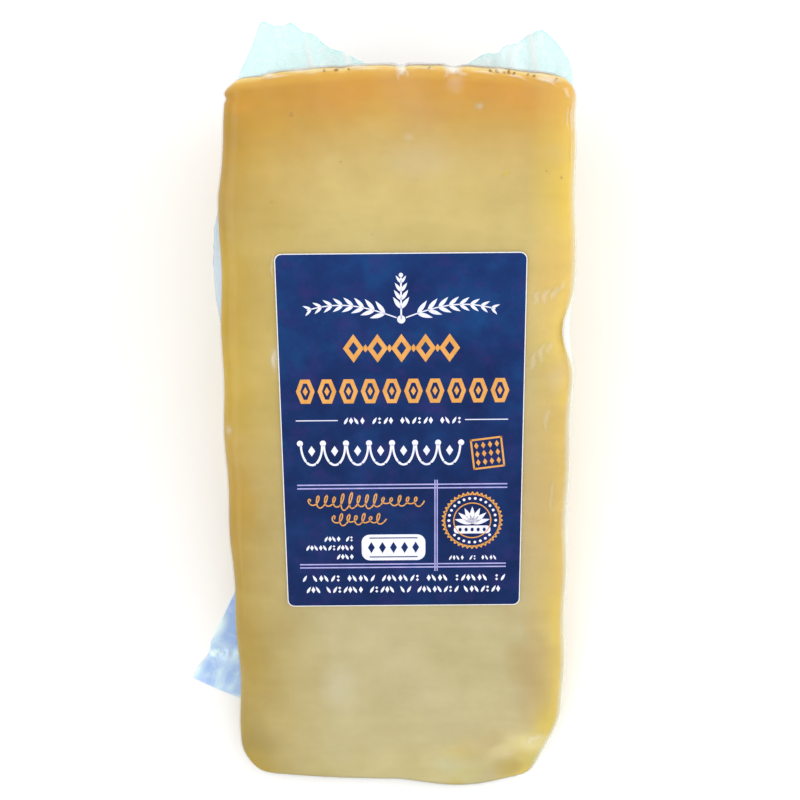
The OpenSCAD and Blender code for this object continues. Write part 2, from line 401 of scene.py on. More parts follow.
cheese_paint, surface, node = new_material("clothbound_cheddar")
links = cheese_paint.node_tree.links
place = node("TexCoord").outputs["Object"]
depth, at_edge, from_left, from_right = (
    node("Attribute", settings={"attribute_name": layer}).outputs["Fac"]
    for layer in ("rind_depth", "rim_depth", "left_depth", "right_depth")
)
patch = node("Attribute", settings={"attribute_name": "patch_tone"})
clouds = cloudy(node, place, 38.0, 3.0)
mottle = cloudy(node, place, 95.0, 4.0, 0.55)
curd_grain = cloudy(node, place, 900.0, 3.0, 0.6)


def worked_out(node, operation, *values, clamp=False):
    """A socket for a sum on values that are each a socket or a number."""
    settings = {"operation": operation, "use_clamp": clamp}
    return node("Math", dict(enumerate(values)), settings).outputs[0]


def added(node, base, extra, scale):
    """A socket for base + (extra - 0.5) * scale, for an extra that runs from 0 to 1."""
    centred = worked_out(node, "SUBTRACT", extra, 0.5)
    return worked_out(node, "MULTIPLY_ADD", centred, scale, base)


def ramped(node, value, low, high, stops):
    """A Color Ramp over a value that runs from low to high."""
    span = node("MapRange", {"Value": value}, From_Min=low, From_Max=high)
    ramp = node("ValToRGB", {"Fac": span.outputs["Result"]})
    set_ramp(ramp, stops)
    return ramp.outputs["Color"]


def mixed(node, factor, first, second, blend="MIX"):
    """A socket for two colours mixed. Each of the three values is a socket or is the same all over."""
    # A Mix node takes two colours on its inputs 6 and 7, and gives one on its output 2.
    settings = {"data_type": "RGBA", "blend_type": blend}
    return node("Mix", {0: factor, 6: first, 7: second}, settings).outputs[2]


wandering = added(node, depth, clouds, 12 * mm)
cut_face = ramped(node, wandering, 0, 158 * mm, [
    (0.000, seen(222, 160, 60)),
    (0.040, seen(220, 164, 70)),
    (0.066, seen(219, 173, 82)),
    (0.090, seen(219, 182, 101)),
    (0.125, seen(221, 193, 117)),
    (0.180, seen(221, 197, 121)),
    (0.270, seen(215, 195, 126)),
    (0.680, seen(206, 192, 140)),
    (1.000, seen(206, 191, 136)),
])
# The left edge is darker, duller ochre: partly the paste's own colour, partly painted shade, as the
# lamps light the wedge most from the right.
left_reach = added(node, from_left, mottle, 5 * mm)
left_tone_and_shade_mask = ramped(node, left_reach, 0, 22 * mm, [
    (0.00, white),
    (0.20, grey(0.76)),
    (0.35, grey(0.56)),
    (0.70, grey(0.24)),
    (1.00, black),
])
left_tone_and_shade = ramped(node, wandering, 0, 158 * mm, [
    (0.0, seen(200, 150, 20)),
    (0.2, seen(198, 160, 34)),
    (0.4, seen(208, 170, 44)),
    (0.6, seen(188, 151, 24)),
    (1.0, seen(180, 152, 50)),
])
body = mixed(node, left_tone_and_shade_mask, cut_face, left_tone_and_shade)
# The right edge is brighter and yellower: partly its own colour, partly a painted highlight where the
# rounded edge faces the right-hand lamp.
right_reach = added(node, from_right, mottle, 5 * mm)
right_tone_and_highlight_mask = ramped(node, right_reach, 0, 9.5 * mm, [(0, white), (0.4, grey(0.6)), (1, black)])
right_tone_and_highlight = ramped(node, wandering, 0, 158 * mm, [
    (0.00, seen(246, 192, 66)),
    (0.10, seen(250, 212, 80)),
    (0.30, seen(252, 214, 84)),
    (0.50, seen(246, 208, 84)),
    (0.70, seen(244, 208, 84)),
    (1.00, seen(238, 210, 104)),
])
body = mixed(node, right_tone_and_highlight_mask, body, right_tone_and_highlight)
body = mixed(node, patch.outputs["Alpha"], body, patch.outputs["Color"])
# Soft clouds, the faint drag marks that the wire leaves across the face and the grain of the
# curd each tint it a little.
dragged = node("Mapping", {"Vector": place}, Scale=(1.0, 5.0, 5.0))
drag = cloudy(node, dragged.outputs["Vector"], 70.0, 5.0, 0.65)
for marks, share, dark, light in (
    (mottle, 0.9, (0.91, 0.895, 0.85, 1), (1.05, 1.055, 1.11, 1)),
    (drag, 0.7, (0.95, 0.945, 0.91, 1), (1.035, 1.04, 1.07, 1)),
    (curd_grain, 0.35, (0.96, 0.95, 0.93, 1), (1.03, 1.03, 1.04, 1)),
):
    tint = ramped(node, marks, 0.3, 0.7, [(0, dark), (1, light)])
    body = mixed(node, share, body, tint, "MULTIPLY")

# Along the rim a painted highlight, where the film bridging the rim catches the light: the
# rounded edge is coloured cream, then gold, just inside the rind's brown line.
from_rim = added(node, at_edge, cloudy(node, place, 230.0, 3.0, 0.6), 1.2 * mm)
rim_highlight = ramped(node, from_rim, 0, 4 * mm, [
    (0.10, seen(244, 230, 176)),
    (0.18, seen(252, 228, 150)),
    (0.27, seen(250, 208, 108)),
    (0.42, seen(238, 186, 80)),
])
rim_highlight_mask = ramped(node, from_rim, 0, 4 * mm, [(0.25, white), (0.8, black)])
body = mixed(node, rim_highlight_mask, body, rim_highlight)

# The cut face turns away at the blunt end, where a dull olive line of painted shade shows.
to_tip = worked_out(node, "SUBTRACT", wheel_r - tip_r - 0.45 * mm, depth)
tip_edge_shade = ramped(node, to_tip, 0.1 * mm, 1.0 * mm, [(0, grey(0.75)), (1, black)])
body = mixed(node, tip_edge_shade, body, seen(146, 140, 92))

rind_clouds = cloudy(node, place, 260.0, 8.0, 0.78)
rind_tone = ramped(node, rind_clouds, 0.25, 0.75, [
    (0.0, srgb(112, 88, 60)),
    (0.4, srgb(148, 120, 84)),
    (0.7, srgb(172, 146, 106)),
    (1.0, srgb(190, 172, 138)),
])
rind_edge = added(node, at_edge, rind_clouds, -0.7 * mm)
in_rind = ramped(node, rind_edge, 0.5 * mm, 0.75 * mm, [(0, white), (1, black)])
body = mixed(node, in_rind, body, rind_tone)
links.new(body, surface.inputs["Base Color"])

# The rind's bandage shows its weave as fine ribs both ways.
weave_x = node("TexWave", {"Vector": place}, {"bands_direction": "X"}, Scale=260.0, Distortion=0.6)
weave_z = node("TexWave", {"Vector": place}, {"bands_direction": "Z"}, Scale=260.0, Distortion=0.6)
weave = worked_out(node, "ADD", weave_x.outputs["Fac"], weave_z.outputs["Fac"])
cloth = worked_out(node, "MULTIPLY", weave, in_rind)
relief = added(node, cloth, curd_grain, 0.8)
bump = node("Bump", {"Height": relief}, Strength=0.22, Distance=0.15 * mm)
links.new(bump.outputs["Normal"], surface.inputs["Normal"])
sheen = node("MapRange", {"Value": mottle}, To_Min=0.42, To_Max=0.62)
links.new(sheen.outputs["Result"], surface.inputs["Roughness"])
surface.inputs["Specular IOR Level"].default_value = 0.35
cheese.data.materials.append(cheese_paint)
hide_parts("pack")


# ---- Rind crumbs ----------------------------------------------------------------------------
# Crumbs of the brown rind that the wire dragged on to the cut face, pressed flat under the
# film. Most lie along the rim, and a few lie loose on the paste.
crumb_gap, crumb_shape = 0.16 * mm, (1.3, 0.8, 0.35)
# Across from the middle line, down from the rind and radius, in mm.
rind_crumbs_at = [
    (-21.1, 8.6, 0.27), (29.1, 20, 0.14), (32.1, 21.3, 0.18), (-11.5, 18.2, 0.12), (-14.6, 0.3, 0.24),
    (-12.2, 0.2, 0.32), (-9.8, 0.3, 0.22), (5.8, 0.2, 0.2), (17.6, 0.2, 0.26), (18.9, 0.35, 0.34),
    (20.3, 0.3, 0.22), (21.2, 0.2, 0.38), (22.2, 0.45, 0.3), (24.9, 0.4, 0.22), (26.1, 0.6, 0.26),
    (30.4, 0.8, 0.3), (3.4, 21.6, 0.11), (-25.4, 26, 0.11), (-5.6, 32.4, 0.10),
]
# The film stands out this much further at the sides than it does on the face.
side_slack = 0.22 * mm


def face_spot(x, depth, gap):
    """The place over the cut face at x and depth, at this gap below the outside of the pack."""
    side_gap, rho = gap - side_slack, wheel_r - depth
    left, right = side_halves(rho, 1)
    u = (x + left - side_gap) / (left + right - 2 * side_gap)
    v = (rho - tip_r - gap) / (wheel_r - tip_r - 2 * gap)
    return wedge_point((u - 0.5, v - 0.5, 0.5), gap, side_gap, 1)[0]


bm = bmesh.new()
for x, depth, r in rind_crumbs_at:
    made = bmesh.ops.create_icosphere(bm, subdivisions=2, radius=r * mm)["verts"]
    for vert in made:
        vert.co *= 1 + 0.5 * noise.noise(vert.co * 3000 + Vector((x, depth, 0)))
    bmesh.ops.scale(bm, vec=crumb_shape, verts=made)
    turned = Matrix.Rotation(wedge_angle, 4, "X") @ Matrix.Rotation(x * 2.3, 4, "Z")
    spot = Matrix.Translation(face_spot(x * mm, depth * mm, crumb_gap)) @ turned
    bmesh.ops.transform(bm, matrix=spot, verts=made)
crumbs = finish_piece(bm, "rind_crumbs")
crumb_paint, surface, node = new_material("crumb_brown")
grit = cloudy(node, node("TexCoord").outputs["Object"], 1400.0, 3.0)
brown = ramped(node, grit, 0.3, 0.7, [(0, srgb(140, 102, 46)), (1, srgb(196, 154, 84))])
crumb_paint.node_tree.links.new(brown, surface.inputs["Base Color"])
surface.inputs["Roughness"].default_value = 0.7
crumbs.data.materials.append(crumb_paint)
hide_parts("pack")


# ---- Film skin ------------------------------------------------------------------------------
# Clear barrier film, shrunk tight in hot water. It lies on the cheese everywhere except where
# it spans the dent, the crumbled corner and the rim of the rind, and there it is drawn milky.
# That milky white, like the small clouded places, is partly a painted highlight: the film's
# glare drawn as a lit white haze.
film_gap, film_dip = 0.04 * mm, 0.3 * mm
veil_side_l, veil_fray = 2.6 * mm, 1.3 * mm
# Small clouded places, partly painted highlight where the film catches the light: across from
# the middle line, down from the rind, half width and half length in mm, then how milky they are.
clouded = [
    (0.4, 0.9, 1, 1.6, 0.9), (10.4, 0.8, 2.4, 1.3, 0.75), (10.8, 3.2, 2.4, 2.8, 0.12),
    (-25.2, 1, 1.6, 0.9, 0.4), (19.4, 0.8, 1.6, 0.8, 0.4), (29, 1.4, 3.2, 0.8, 0.35),
    (-8, 0.7, 2.6, 0.7, 0.4), (-19, 0.7, 4, 0.7, 0.35), (34.2, 7.5, 1.2, 7, 0.3),
    (-25.8, 58, 1.2, 3.6, 0.24), (-36, 73.5, 1, 1.6, 0.25),
    (-13.4, 134, 6, 9, 0.12), (4, 18, 10, 6, 0.09), (15.6, 7.3, 1, 0.9, 0.22),
    (1.7, 13.5, 0.9, 1.3, 0.2), (33, 62, 3.5, 5, 0.10),
]


def film_layers(bm):
    """How milky and how pale each point of a piece of film is."""
    return (bm.verts.layers.float.new(name) for name in ("haze", "pale"))


bm = wedge_block(110, 240, 28)
haze, pale = film_layers(bm)
for vert in bm.verts:
    on_top, below = vert.co.z > 0.3, 0.5 - vert.co.z
    vert.co, depth = wedge_point(vert.co, film_gap, film_gap - side_slack, 1)
    place, below = vert.co, below * (wheel_r - depth) * wedge_angle
    outer = side_halves(wheel_r - depth, 1)[1]
    inner = side_halves(wheel_r - depth, 0)[1]
    milky = 0.0
    if on_top:
        for x, y, half_x, half_y, strength in clouded:
            spot = math.hypot((place.x - x * mm) / (half_x * mm), (depth - y * mm) / (half_y * mm))
            milky = max(milky, strength * hump(spot))
        sweep = noise.noise(Vector((place.x * 70 + place.y * 35, place.y * 30, 5.0)))
        milky = max(milky, 0.06 * (sweep - 0.1))
    # Down the right edge the film is whitened and hazed over its upper part: partly haze where it stands
    # off the cheese, partly a painted highlight of the glow that edge catches.
    vert[pale] = hump((outer - place.x) / (2.4 * mm))
    fray = veil_fray * noise.noise(Vector((place.y * 55, place.z * 30, 3.0)))
    upper = 1 - ease((below - 2.3 * mm - fray) / veil_side_l)
    down = ease((depth - 20 * mm) / (30 * mm))
    right_edge_haze_and_highlight = (0.22 + 0.24 * down) * hump((outer - place.x) / (2.1 * mm))
    spanned = 0.8 * (outer - inner) / (1.1 * mm) * hump((outer - place.x) / (2.0 * mm))
    milky = max(milky, upper * max(right_edge_haze_and_highlight, spanned))
    if place.x > 0 and depth > crumbled_from and on_top:
        place.z -= film_dip * hump(from_line(place.x, depth, hollow) / hollow_w)
    vert[haze] = max(0.0, min(1.0, milky))
film = finish_piece(bm, "film_skin")


def film_material(name, tint, pale_tint, base_haze, streak_haze, rough=0.12, streak_scale=260.0):
    """Clear film: see-through, hazy in the given tint, paler in streaks, glossy when slanted."""
    material, surface, node = new_material(name)
    links = material.node_tree.links
    place = node("TexCoord").outputs["Object"]
    streaks = node(
        "TexNoise", {"Vector": place}, Scale=streak_scale, Detail=4.0, Roughness=0.6, Distortion=1.2
    )
    lines = ramped(node, streaks.outputs["Fac"], 0.45, 0.8, [(0, black), (1, white)])
    haze, pale = (
        node("Attribute", settings={"attribute_name": layer}).outputs["Fac"]
        for layer in ("haze", "pale")
    )
    amount = worked_out(node, "MULTIPLY_ADD", lines, streak_haze, base_haze)
    total = worked_out(node, "ADD", amount, haze, clamp=True)
    whitened = worked_out(node, "MAXIMUM", lines, pale)
    colour = mixed(node, whitened, tint, pale_tint)
    links.new(colour, surface.inputs["Base Color"])
    surface.inputs["Roughness"].default_value = 0.35
    clear = node("BsdfTransparent", Color=(0.985, 0.99, 1.0, 1))
    hazy = node("MixShader", {0: total, 1: clear.outputs["BSDF"], 2: surface.outputs["BSDF"]})
    ripple = cloudy(node, place, 150.0, 2.0)
    bump = node("Bump", {"Height": ripple}, Strength=0.3, Distance=0.35 * mm)
    gloss = node("BsdfAnisotropic", {"Normal": bump.outputs["Normal"]}, Roughness=rough)
    slant = node("LayerWeight", {"Normal": bump.outputs["Normal"]}, Blend=0.5)
    grazing = worked_out(node, "POWER", slant.outputs["Facing"], 5)
    shine = worked_out(node, "MULTIPLY_ADD", grazing, 0.45, 0.03)
    shiny = {0: shine, 1: hazy.outputs["Shader"], 2: gloss.outputs["BSDF"]}
    film_surface = node("MixShader", shiny)
    output = [n for n in material.node_tree.nodes if n.type == "OUTPUT_MATERIAL"][0]
    links.new(film_surface.outputs["Shader"], output.inputs["Surface"])
    return material


milk, snow = (1.0, 0.97, 0.90, 1), (0.86, 1.0, 0.95, 1)
film.data.materials.append(film_material("shrink_film", milk, snow, 0.0, 0.02, rough=0.08))
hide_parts("pack")


# ---- Film creases ---------------------------------------------------------------------------
# Short ridges where the film had too much width to shrink away: along the rim of the rind,
# beside the label and down the right edge. Each is a little spindle raised from the skin; its
# cream milkiness is a painted highlight, the glare that a ridge catches.
crease_h, crease_root = 0.14 * mm, 0.015 * mm
# Across from the middle line and down from the rind in mm, then length and width in mm, the
# turn from the across direction in degrees, and how milky it is, which is painted highlight.
creases = [
    (-23.2, 1.1, 4.2, 0.9, 2, 0.30), (-15.5, 0.8, 6.5, 0.8, 6, 0.28),
    (-6, 0.8, 6, 0.8, 4, 0.28), (0, 1.9, 2.4, 1.1, 72, 0.20), (1.4, 1.7, 2.2, 1, 110, 0.20),
    (5.2, 0.8, 5, 0.8, -3, 0.28), (9.2, 1.5, 2.6, 1.1, 60, 0.20), (12, 1.4, 3.2, 1.2, 150, 0.22),
    (16, 1.1, 5, 0.9, -8, 0.35), (22.6, 1.5, 4.4, 0.9, -10, 0.35), (28.2, 1.7, 4.4, 1, -13, 0.4),
    (32.6, 3.4, 3, 1.4, -42, 0.22), (34.4, 8.6, 8, 1.2, 89, 0.28), (33, 8, 5, 0.9, 86, 0.18),
    (34.8, 16, 7, 0.8, 91, 0.25), (27.9, 45.2, 3.4, 1.5, 74, 0.18), (29.7, 44.8, 3.8, 1.5, 70, 0.2),
    (31.5, 44.2, 3.4, 1.5, 66, 0.2), (33, 42.9, 2.8, 1.3, 62, 0.18), (27.7, 58.4, 4.4, 1.6, 78, 0.16),
    (29.3, 56.6, 5, 1.6, 80, 0.18), (30.9, 55.6, 3.4, 1.4, 76, 0.15), (-25.6, 39, 6.5, 0.6, 90, 0.2),
    (-25.9, 58, 4.4, 1.2, 88, 0.2),
    (30.9, 71, 6, 1, 84, 0.14), (32.6, 88, 8, 1, 88, 0.14), (30.6, 147.6, 5, 1.8, 40, 0.2),
]
bm = bmesh.new()
haze, pale = film_layers(bm)
for x, depth, length, width, turn, strength in creases:
    along = Vector((math.cos(math.radians(turn)), -math.sin(math.radians(turn))))
    made = bmesh.ops.create_grid(bm, x_segments=14, y_segments=6, size=0.5)["verts"]
    for vert in made:
        t, side = vert.co.x * 2, vert.co.y * 2
        swell = max(0.0, 1 - t * t) ** 0.7
        bend = 0.07 * length * (t * t - 0.3) + 0.12 * width * math.sin(4 * t + x)
        out = side * width / 2 * max(swell, 0.08) + bend
        spot = Vector((x, depth)) + along * (t * length / 2) + along.orthogonal() * out
        rise = hump(side) * swell
        vert.co = face_spot(spot.x * mm, spot.y * mm, film_gap - crease_root - crease_h * rise)
        vert[haze] = strength * rise
        vert[pale] = 0.0
film_creases = finish_piece(bm, "film_creases")
# The creases' cream tint and haze are a painted highlight.
film_creases.data.materials.append(
    film_material("crease_highlight_film", (1.0, 0.93, 0.72, 1), (1.0, 0.97, 0.88, 1), 0.0, 0.0, rough=0.2)
)
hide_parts("pack")


# ---- End seal -------------------------------------------------------------------------------
# The bag's mouth, welded flat after the air is drawn out. Shrinking pulls its middle in tight
# and leaves a stiff, crinkled ear of doubled film at each corner of the rind.
ear_l_h, ear_l_slope, ear_l_top = 10.6 * mm, 5.5 * mm, 7.5 * mm
ear_r_h, ear_r_slope, ear_r_top = 9.0 * mm, 7 * mm, 1 * mm
seal_h, seal_root, doubled_t = 1.5 * mm, 1.2 * mm, 0.14 * mm
seal_left, seal_right = left_taper - slab_w / 2, slab_w / 2


def ear(inward, h, slope, bend, top):
    """The height of an ear at a distance in from the seal's end: up a slope, along, and down."""
    rise = max(0.0, min(1.0, inward / slope)) ** bend
    fall = 1 - max(0.0, min(1.0, (inward - slope - top) / (slab_w / 2 - slope - top)))
    return h * rise * fall ** 1.8


# Bumps on the cut edge of the ears: across from the middle line, half width, height, in mm.
seal_bumps = [
    (-28.6, 2.6, 0.9), (-22.6, 1.7, 0.7), (-17.2, 2.8, 0.9), (-11, 5, 1.1), (-4, 7, 1),
    (9.5, 6, 0.8), (17.5, 4, 0.9), (22.8, 2.4, 0.8), (27.2, 2.6, 1), (31.6, 3.6, 0.9),
]


def seal_height(x):
    """How far the seal stands out from the rind: the ears, or the low strip between them."""
    h = max(
        ear(x - seal_left, ear_l_h, ear_l_slope, 1, ear_l_top),
        ear(seal_right - x, ear_r_h, ear_r_slope, 0.5, ear_r_top),
        min(seal_h, (x - seal_left) / 2, (seal_right - x) / 2),
    )
    return h + sum(rise * mm * hump((x / mm - at) / half) for at, half, rise in seal_bumps)


half_turn = Matrix.Rotation(wedge_angle / 2, 4, "X")
to_origin = Matrix.Translation((0, -origin_y, 0))
bm = bmesh.new()
bmesh.ops.create_grid(bm, x_segments=150, y_segments=20, size=0.5)
haze, pale = film_layers(bm)
for vert in bm.verts:
    x = seal_left + (seal_right - seal_left) * (vert.co.x + 0.5)
    v = vert.co.y + 0.5
    body_x = max(seal_left + 1 * mm, min(seal_right - right_taper - 1.5 * mm, x))
    foot = wheel_r + end_bow(body_x, wheel_r) - seal_root
    ragged = 0.35 * mm * noise.fractal(Vector((x * 420, 2.0, 0)), 0.8, 2.0, 3)
    top = wheel_r + seal_height(x) + ragged
    rho = foot + (max(top, foot + 0.4 * mm) - foot) * v
    lean = (-0.06 if x < 0 else 0.03) * max(0.0, rho - wheel_r)
    crinkle = noise.fractal(Vector((x * 170, rho * 60, 4.0)), 0.8, 2.0, 3)
    fold = math.sin(x * 900 + 2.2 * noise.noise(Vector((x * 90, rho * 40, 0))))
    wave = (0.8 * crinkle + 0.3 * fold) * mm * ease((rho - foot) / (6 * mm))
    vert.co = Vector((x + lean, rho, wave))
    ray = noise.noise(Vector((x * 380 + rho * 60, rho * 45, 9)))
    vert[haze] = max(0.0, 0.5 * ray) + 0.25 * hump((top - rho) / (0.7 * mm))
    vert[pale] = max(0.0, min(1.0, 1.6 * ray))
bmesh.ops.solidify(bm, geom=bm.faces[:], thickness=doubled_t)
bmesh.ops.transform(bm, matrix=to_origin @ half_turn, verts=bm.verts[:])
end_seal = finish_piece(bm, "end_seal")
# The ears' cyan tint is painted reflection and shade: the colour clear film takes over the white table.
end_seal.data.materials.append(
    film_material("doubled_film", (0.55, 1.0, 1.0, 1), (0.98, 1.0, 1.0, 1), 0.32, 0.22)
)
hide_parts("pack")


# ---- Side fold ------------------------------------------------------------------------------
# Spare width of the bag, drawn into a low flat pleat along the left side.
fold_reach, fold_root, fold_l, fold_from_rind = 4.0 * mm, 0.4 * mm, 52 * mm, 39 * mm
bm = bmesh.new()
bmesh.ops.create_grid(bm, x_segments=8, y_segments=70, size=0.5)
haze, pale = film_layers(bm)
for vert in bm.verts:
    t = 2 * vert.co.y
    rho = wheel_r - fold_from_rind + t * fold_l / 2
    root = fold_root - side_halves(rho, 1)[0]
    reach = (fold_reach + fold_root) * hump(t) * (1 + 0.05 * noise.noise(Vector((0, rho * 400, 1))))
    x = root - reach * (vert.co.x + 0.5)
    lift = 0.4 * mm * noise.noise(Vector((x * 200, rho * 130, 6))) * (vert.co.x + 0.5)
    vert.co = Vector((x, rho, lift))
    vert[haze] = max(0.0, 0.3 * noise.noise(Vector((x * 300, rho * 160, 2))))
    vert[pale] = 0.4
bmesh.ops.solidify(bm, geom=bm.faces[:], thickness=-doubled_t)
bmesh.ops.transform(bm, matrix=to_origin @ half_turn, verts=bm.verts[:])
side_fold = finish_piece(bm, "side_fold")
# The fold's blue tint is painted reflection and shade, as on the ears.
side_fold.data.materials.append(
    film_material("pleated_film", (0.50, 0.72, 1.0, 1), (0.80, 0.93, 1.0, 1), 0.46, 0.14)
)
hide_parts("pack")


# ---- Tail -----------------------------------------------------------------------------------
# The welded bottom of the bag, folded under the wedge. One corner of it sticks out on the
# left, flat on the table, with the weld as a crumpled line across it.
tail_reach, tail_from_tip = 11.5 * mm, 23 * mm
tail_long, tail_short = 24 * mm, 4.8 * mm
tail_t, tail_tucked, weld_at, weld_half = 0.12 * mm, 4 * mm, 0.24, 1.9 * mm
bm = bmesh.new()
bmesh.ops.create_grid(bm, x_segments=40, y_segments=110, size=0.5)
haze, pale = film_layers(bm)
corner_y = tip_r + tail_from_tip - origin_y
for vert in bm.verts:
    along = (vert.co.y + 0.5) * (tail_long + tail_short) - tail_short
    out = vert.co.x + 0.5
    from_weld = along - weld_at * tail_long
    if along > 0:
        edge = tail_reach * (1 - along / tail_long) ** 1.05
        edge -= 0.9 * mm * hump(from_weld / (3 * mm))
    else:
        edge = tail_reach * (1 + along / tail_short) ** 0.9
    inside = slab_w / 2 - tail_tucked
    x = -inside - (slab_w / 2 + edge - inside) * out
    to_edge = slab_w / 2 + edge + x
    spot = Vector((x, along, 0))
    soft = noise.noise(spot * 150 + Vector((3, 1, 8)))
    fine = noise.fractal(spot * 420, 0.8, 2.1, 3)
    weld = hump(from_weld / weld_half) * max(0.0, 0.45 + 1.3 * fine)
    sheen = 0.9 * hump(to_edge / (2.6 * mm)) + 0.7 * hump((along + tail_short) / (4 * mm))
    lift = 0.3 * mm + max(0.0, 0.25 * soft * mm + 0.35 * mm * weld) * ease(out * 3 - 0.9)
    vert.co = Vector((x, corner_y + along, lift))
    vert[haze] = max(0.0, min(1.0, 0.35 * soft + 0.4 * weld))
    vert[pale] = max(0.0, min(1.0, 0.9 * weld + 0.75 * sheen * (0.8 + soft) + 0.7 * soft))
bmesh.ops.solidify(bm, geom=bm.faces[:], thickness=tail_t)
tail = finish_piece(bm, "tail_corner")
# The tail's blue tint is painted reflection and shade, as on the ears.
tail.data.materials.append(
    film_material(
        "tail_film", (0.38, 0.58, 1.0, 1), (0.74, 0.95, 1.0, 1), 0.84, 0.1, streak_scale=120.0
    )
)
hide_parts("pack")


# ---- Label ----------------------------------------------------------------------------------
# A rectangle of smooth white paper with rounded corners, stuck on the film a little crooked.
# Ink covers it to a hair's breadth from the cut edge.
label_w, label_l, label_corner_r = 51 * mm, 77.5 * mm, 1.5 * mm
label_from_rind, label_x, label_t = 74.8 * mm, 0.6 * mm, 0.25 * mm
label_turn = math.radians(0.5)
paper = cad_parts["label"]
paper_paint, surface, node = new_material("label_paper")
fibres = cloudy(node, node("TexCoord").outputs["Object"], 1500.0, 4.0)
paper_tone = ramped(node, fibres, 0.3, 0.7, [(0, srgb(226, 226, 232)), (1, srgb(244, 244, 250))])
paper_paint.node_tree.links.new(paper_tone, surface.inputs["Base Color"])
surface.inputs["Roughness"].default_value = 0.55
paper.data.materials.clear()
paper.data.materials.append(paper_paint)
on_label = (
    to_origin
    @ Matrix.Rotation(wedge_angle, 4, "X")
    @ Matrix.Translation((label_x, wheel_r - label_from_rind, label_t))
    @ Matrix.Rotation(label_turn, 4, "Z")
)
ink_t, ink_edge = 0.02 * mm, 0.19 * mm


def flat_bar(bm, x, y, w, h, corner=0.0, turn=0.0):
    """A rectangle with its middle at (x, y), turned and with its corners rounded if asked."""
    others = set(bm.verts)
    made = bmesh.ops.create_grid(bm, x_segments=1, y_segments=1, size=0.5)["verts"]
    bmesh.ops.scale(bm, vec=(w, h, 1), verts=made)
    if corner:
        bmesh.ops.bevel(
            bm, geom=made, offset=corner, segments=5, profile=0.5,
            affect="VERTICES", material=-1,
        )
        made = [v for v in bm.verts if v not in others]
    place = Matrix.Translation((x, y, 0)) @ Matrix.Rotation(turn, 4, "Z")
    bmesh.ops.transform(bm, matrix=place, verts=made)


def press_ink(bm, name, paint, level):
    """Gives flat shapes the ink's thickness and lays them on the label."""
    bmesh.ops.recalc_face_normals(bm, faces=bm.faces[:])
    for face in bm.faces:
        if face.normal.z < 0:
            face.normal_flip()
    top = bmesh.ops.extrude_face_region(bm, geom=bm.faces[:])["geom"]
    verts = [g for g in top if isinstance(g, bmesh.types.BMVert)]
    bmesh.ops.translate(bm, vec=(0, 0, ink_t), verts=verts)
    bmesh.ops.recalc_face_normals(bm, faces=bm.faces[:])
    bmesh.ops.translate(bm, vec=(0, 0, level * ink_t), verts=bm.verts[:])
    bmesh.ops.transform(bm, matrix=on_label, verts=bm.verts[:])
    piece = finish_piece(bm, name, smooth=False)
    piece.data.materials.append(paint)


# The blue is mottled: teal clouds and violet smudges towards the rind, darker at the foot.
navy, surface, node = new_material("blue_ink")
place = node("TexCoord").outputs["Object"]
height = node("SeparateXYZ", {"Vector": place}).outputs["Y"]
clouds = cloudy(node, place, 85.0, 5.0, 0.65)
smudges = cloudy(node, place, 240.0, 4.0, 0.6)
dots = cloudy(node, place, 2600.0, 2.0)
upper_blue = ramped(node, clouds, 0.3, 0.7, [
    (0.0, srgb(17, 40, 94)),
    (0.5, srgb(19, 50, 106)),
    (1.0, srgb(20, 66, 122)),
])
lower_blue = ramped(node, clouds, 0.3, 0.7, [
    (0.0, srgb(11, 31, 76)),
    (0.5, srgb(13, 38, 87)),
    (1.0, srgb(19, 49, 102)),
])
level = added(node, height, clouds, 30 * mm)
rising = ramped(node, level, -12 * mm, 38 * mm, [(0, black), (1, white)])
blue = mixed(node, rising, lower_blue, upper_blue)
violet = ramped(node, smudges, 0.5, 0.8, [(0, black), (1, grey(0.6))])
blue = mixed(node, violet, blue, srgb(52, 42, 108))
navy.node_tree.links.new(blue, surface.inputs["Base Color"])
bump = node("Bump", {"Height": dots}, Strength=0.1, Distance=0.02 * mm)
navy.node_tree.links.new(bump.outputs["Normal"], surface.inputs["Normal"])
surface.inputs["Roughness"].default_value = 0.5
surface.inputs["Specular IOR Level"].default_value = 0.1
bm = bmesh.new()
flat_bar(bm, 0, 0, label_w - 2 * ink_edge, label_l - 2 * ink_edge, label_corner_r - ink_edge)
press_ink(bm, "label_blue", navy, 0)


# ---- White print ----------------------------------------------------------------------------
# White ink on the blue: a leafy sprig, plain rules, a chain of scallops, a plaque and
# rows of small marks where a pack's small print would be.
def ink_material(name, dark, light, scale):
    """Printed ink: two close tones in clouds, with the fine dots of the press."""
    material, surface, node = new_material(name)
    place = node("TexCoord").outputs["Object"]
    clouds, dots = cloudy(node, place, scale, 5.0, 0.7), cloudy(node, place, 2600.0, 2.0)
    tone = added(node, clouds, dots, 0.35)
    colour = ramped(node, tone, 0.3, 0.7, [(0, dark), (1, light)])
    material.node_tree.links.new(colour, surface.inputs["Base Color"])
    surface.inputs["Roughness"].default_value = 0.5
    surface.inputs["Specular IOR Level"].default_value = 0.12
    return material


white_ink = ink_material("white_ink", srgb(222, 224, 246), srgb(246, 246, 255), 300.0)
rule_ink = ink_material("lilac_ink", srgb(158, 156, 218), srgb(188, 184, 236), 300.0)
bm = bmesh.new()


